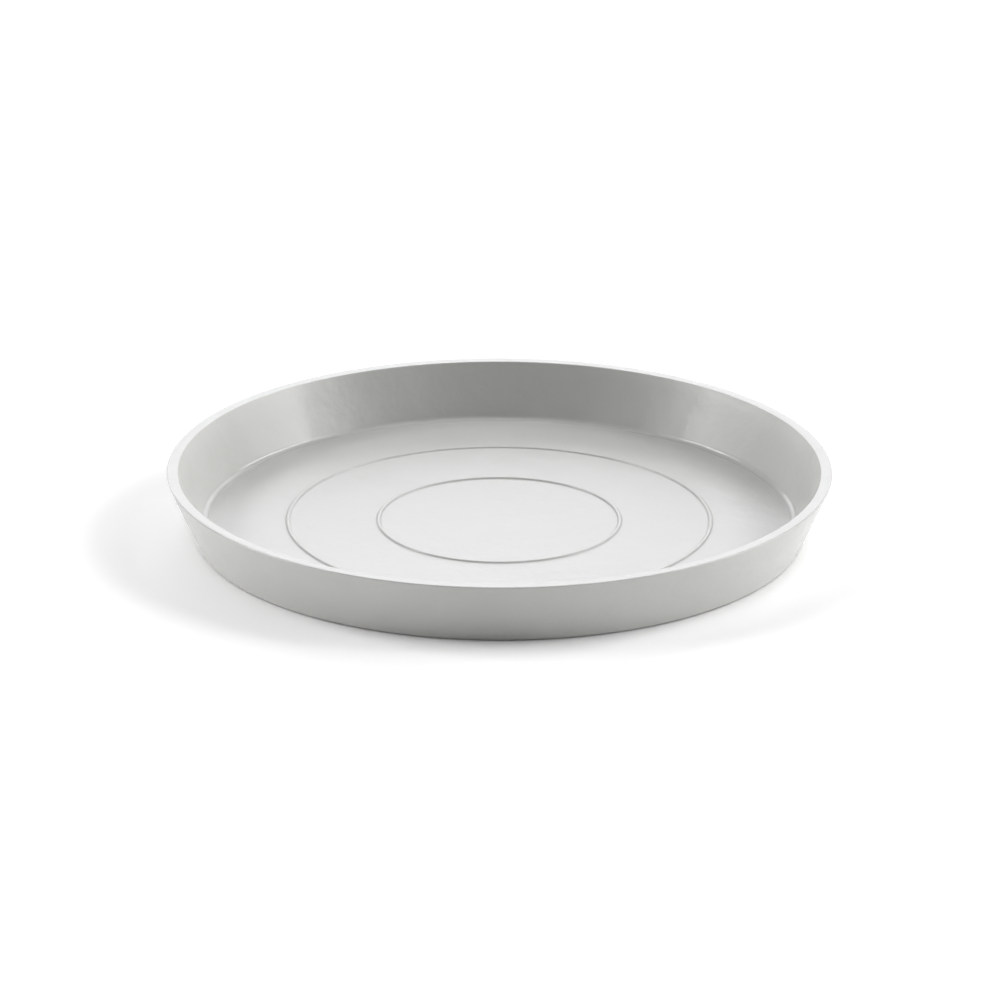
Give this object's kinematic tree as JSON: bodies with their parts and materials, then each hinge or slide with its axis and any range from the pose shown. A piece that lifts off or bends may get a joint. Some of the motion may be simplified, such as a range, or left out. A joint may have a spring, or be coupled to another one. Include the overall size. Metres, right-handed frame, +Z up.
{
  "type": "plant saucer",
  "caption": "Shallow round plant saucer with a sloping wall, a level rim and raised rings on its floor, for standing a pot on and catching the water that drains from it.",
  "frame": {"origin": "centre of the round footprint, on the surface that the pads stand on", "axes": "+Z up along the dish's axis; the first pad lies on +X, and the dish looks the same from every side"},
  "size_m": [0.3, 0.3, 0.03],
  "materials": {
    "saucer_plastic": "satin matte, pale warm grey, moulded in one colour",
    "pad_rubber": "matte dark grey foam rubber"
  },
  "bodies": {
    "root": {"saucer": "saucer_plastic", "foot_pad_1": "pad_rubber", "foot_pad_2": "pad_rubber", "foot_pad_3": "pad_rubber", "foot_pad_4": "pad_rubber", "foot_pad_5": "pad_rubber", "foot_pad_6": "pad_rubber"}
  },
  "joints": []
}
